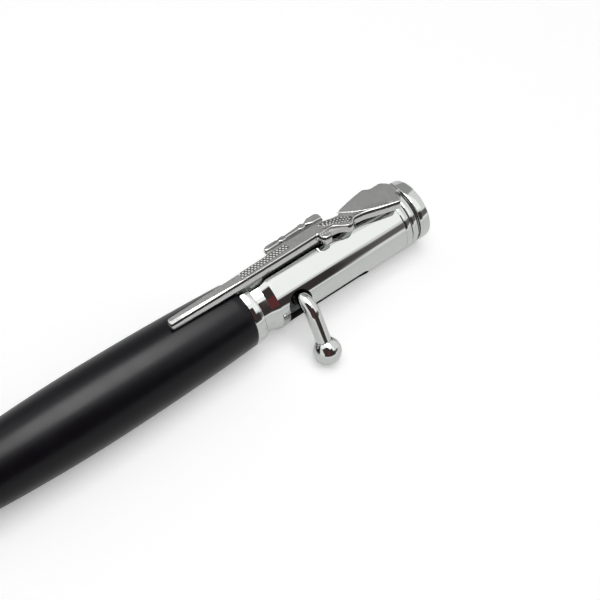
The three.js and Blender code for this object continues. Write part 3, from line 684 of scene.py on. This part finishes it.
# Scope in low relief: objective bell, mounting ring, tube, ring and eyepiece
scope = [
    (6.45, 2.0, 0.15), (6.5, 2.65, 0.2), (7.3, 2.98, 0.3), (9.4, 3.0, 0.2), (9.72, 2.78, 0.05), (9.95, 2.8, 0.05),
    (10.2, 3.06, 0.1), (11.05, 3.06, 0.1), (11.3, 2.84, 0.05), (14.35, 2.9, 0.05), (14.65, 3.27, 0.1),
    (15.45, 3.27, 0.1), (15.68, 2.95, 0.1), (16.1, 3.1, 0.1), (16.8, 3.6, 0.3), (18.8, 3.62, 0.3), (19.4, 3.15, 0.3),
    (19.4, 2.1, 0.1), (19.2, 1.8, 0.1), (17.1, 1.9, 0.3), (15.9, 2.35, 0.1), (15.6, 2.0, 0.1), (14.6, 1.95, 0.1),
    (14.35, 2.14, 0.05), (11.35, 2.1, 0.05), (11.1, 1.86, 0.1), (10.15, 1.86, 0.1), (9.9, 2.08, 0.05),
    (9.65, 2.05, 0.05), (9.4, 1.86, 0.1), (7.0, 1.82, 0.2)]
scope_low, scope_high = 8.2, 9.05
make_casting("rifle_scope", clip_layer(scope, 0, scope_low, scope_high, 0, 0.22, draft=0.03))

# Checkering: rows of small blunt diamonds on a ground darkened as painted shade, on the fore-end and on the wrist,
# and a few on the magazine. The painted shadow under the scope is a ground of its own
ground_depth, ground_height = 0.1, 0.012
grounds = {
    "fore_end_ground": [(-0.5, -0.28, 0), (0.2, -0.4, 0.1), (10.1, -0.1, 0.1), (10.5, 0.35, 0.1), (10.1, 1.3, 0.1),
                        (0.1, 0.98, 0.1)],
    "wrist_ground": [(17.5, 1.3, 0.1), (18.6, 0.15, 0.1), (20.1, -0.55, 1), (21.4, -1.4, 0.1), (22.75, -2.1, 0.1),
                     (23.5, -1.85, 0.1), (23.7, -1.2, 0.1), (22.3, -0.1, 1), (20.4, 0.75, 1)],
    "scope_ground": [(6.7, 1.68, 0.05), (19.3, 1.6, 0.05), (19.3, 2.2, 0), (6.7, 2.2, 0)]}
for ground_name, outline in grounds.items():
    make_clip_piece(ground_name, clip_layer(outline, 0, clip_top - ground_depth, clip_top + ground_height, 0, 0,
                                            draft=nearly_upright), clip_shade)
checkering = bmesh.new()
stud_depth, stud_lift = 0.15, 0.03


def cast_diamond(place, height, length, width, turn=0):
    """A blunt four-sided stud standing on the clip's face."""
    bmesh.ops.create_cone(checkering, cap_ends=True, segments=4, radius1=0.5, radius2=0.05, depth=stud_depth,
                          matrix=Matrix.Translation((place, height, clip_top + stud_lift))
                          @ Matrix.Rotation(math.radians(turn), 4, "Z") @ Matrix.Diagonal((length, width, 1, 1))
                          @ Matrix.Rotation(math.pi / 4, 4, "Z"))


stud_step, row_step, fore_end_rise = 0.71, 0.44, 0.025
for row in range(3):
    for column in range(15):
        place = -0.15 + stud_step * column + stud_step / 2 * (row % 2)
        cast_diamond(place, 0.72 - row_step * row + fore_end_rise * column, 0.86, 0.64)
wrist_columns = 9
wrist_top = [(17.7, 1.05), (20.3, 0.6), (22.2, -0.15), (23.6, -1.2)]
wrist_low = [(18.6, 0.1), (20.0, -0.5), (21.5, -1.35), (22.8, -2.05)]


def along_line(points, share):
    """Point at a share of a line of equal steps."""
    step = min(int(share * (len(points) - 1)), len(points) - 2)
    start, end = Vector(points[step]), Vector(points[step + 1])
    return start.lerp(end, share * (len(points) - 1) - step)


for row in range(3):
    for column in range(wrist_columns):
        share = (column + 0.5 * (row % 2)) / wrist_columns
        spot = along_line(wrist_top, share).lerp(along_line(wrist_low, share), 0.1 + 0.4 * row)
        cast_diamond(spot.x, spot.y, 0.66, 0.5)
for column in range(3):
    cast_diamond(16.9 + 0.55 * column, -1.3 - 0.12 * column, 0.6, 0.5, turn=20)
make_clip_piece("clip_checkering", checkering, clip_polish, sharper_than=20)


def bead(name, points, radius):
    """A fine raised line on the clip's face."""
    curve = bpy.data.curves.new(name, "CURVE")
    curve.dimensions = "3D"
    curve.bevel_depth, curve.bevel_resolution, curve.use_fill_caps = radius, 3, True
    spline = curve.splines.new("NURBS")
    spline.points.add(len(points) - 1)
    spline.use_endpoint_u, spline.order_u, spline.resolution_u = True, 3, 6
    for point, (place, height) in zip(spline.points, points):
        point.co = (place, height, clip_top, 1)
    drawn = bpy.data.objects.new(name, curve)
    bpy.context.scene.collection.objects.link(drawn)
    bpy.context.view_layer.update()
    form = bmesh.new()
    form.from_mesh(bpy.data.meshes.new_from_object(drawn.evaluated_get(bpy.context.evaluated_depsgraph_get())))
    bpy.data.objects.remove(drawn)
    bmesh.ops.remove_doubles(form, verts=form.verts, dist=1e-4)
    bmesh.ops.recalc_face_normals(form, faces=form.faces)
    make_clip_piece(name, form, clip_polish)


# A fine bead runs from the comb round the cheek and along the flute
bead("cheek_bead", [(22.35, 1.45), (22.5, 1.15), (23.3, 0.42), (24.5, -0.5), (25.55, -1.15), (26.75, -1.8),
                    (27.8, -2.3), (29.1, -2.78), (30.65, -3.1), (31.6, -3.25)], 0.07)

# A stronger one carries the fore-end's polished edge on over the magazine and down the front of the grip
bead("grip_bead", [(15.7, -0.9), (17.2, -0.92), (19.2, -0.86), (20.0, -1.15), (21.0, -2.1), (21.7, -2.6),
                   (22.6, -2.65)], 0.1)

# Pin through the butt, and the lug that joins the clip to its band
pin_place, pin_radius, pin_edge = (33.72, -2.2, 0), 0.24, 0.09
lug_middle, lug_size = (34.93, 0, 6.95), (1.15, 2.5, 2.1)
pin_form = bmesh.new()
pin_section = Matrix.Translation((pin_radius, 0, clip_top)) @ Matrix.Rotation(math.pi / 2, 4, "X")
bmesh.ops.create_circle(pin_form, segments=12, radius=pin_edge, matrix=pin_section)
bmesh.ops.spin(pin_form, geom=pin_form.verts[:] + pin_form.edges[:], cent=(0, 0, 0), axis=(0, 0, 1),
               angle=2 * math.pi, steps=32, use_merge=True)
bmesh.ops.remove_doubles(pin_form, verts=pin_form.verts, dist=1e-4)
bmesh.ops.recalc_face_normals(pin_form, faces=pin_form.faces)
bmesh.ops.translate(pin_form, vec=pin_place, verts=pin_form.verts)
make_clip_piece("butt_pin", pin_form, clip_shade)
lug_form = bmesh.new()
bmesh.ops.create_cube(lug_form, size=1, matrix=Matrix.Translation(lug_middle) @ Matrix.Diagonal((*lug_size, 1)))
round_edges(lug_form, 0.25, segments=4)
make_clip_piece("clip_lug", lug_form, clip_polish)

# ---------------------------------------------------------------------------- what stays as the CAD made it
# The refill, the spring, the bushes and the carrier inside the pen keep their CAD solids. They are turned brass,
# drawn steel, a ground carbide ball and moulded plastic, and each gets its finish here.
brass = new_finish("turned_brass", (0.54, 0.36, 0.12), (0.68, 0.48, 0.19), 0.18, 0.32, (1.5, 0.3, 0.3), (7, 0.4, 0.4),
                   0.004)
drawn_steel = new_finish("drawn_steel", (0.46, 0.46, 0.47), (0.6, 0.6, 0.61), 0.22, 0.36, (0.3, 1.5, 1.5),
                         (0.4, 6, 6), 0.003)
spring_steel = new_finish("spring_steel", (0.34, 0.34, 0.35), (0.48, 0.48, 0.49), 0.22, 0.34, (1.5, 1.5, 1.5),
                          (4, 4, 4), 0.003)
carbide = new_finish("ground_carbide", (0.26, 0.26, 0.28), (0.34, 0.34, 0.36), 0.1, 0.17, (6, 6, 6),
                     (20, 20, 20), 0.0005)
black_plastic = new_finish("black_moulding", (0.024, 0.024, 0.027), (0.036, 0.036, 0.039), 0.42, 0.55,
                           (0.7, 0.7, 0.7), (4, 4, 4), 0.006, metallic=0)
white_plastic = new_finish("white_moulding", (0.74, 0.74, 0.7), (0.84, 0.84, 0.81), 0.4, 0.5, (0.7, 0.7, 0.7),
                           (4, 4, 4), 0.006, metallic=0)
inside = {
    brass: ["barrel_liner", "nib_coupler", "centre_coupler", "refill_nose", "refill_point"],
    drawn_steel: ["refill_tube"],
    spring_steel: ["nose_spring", "spring_washer", "cap_stud"],
    carbide: ["writing_ball"],
    black_plastic: ["bolt_carrier", "refill_plug"],
    white_plastic: ["thrust_pad"]}
for finish, names in inside.items():
    for name in names:
        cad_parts[name].data.materials.clear()
        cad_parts[name].data.materials.append(finish)
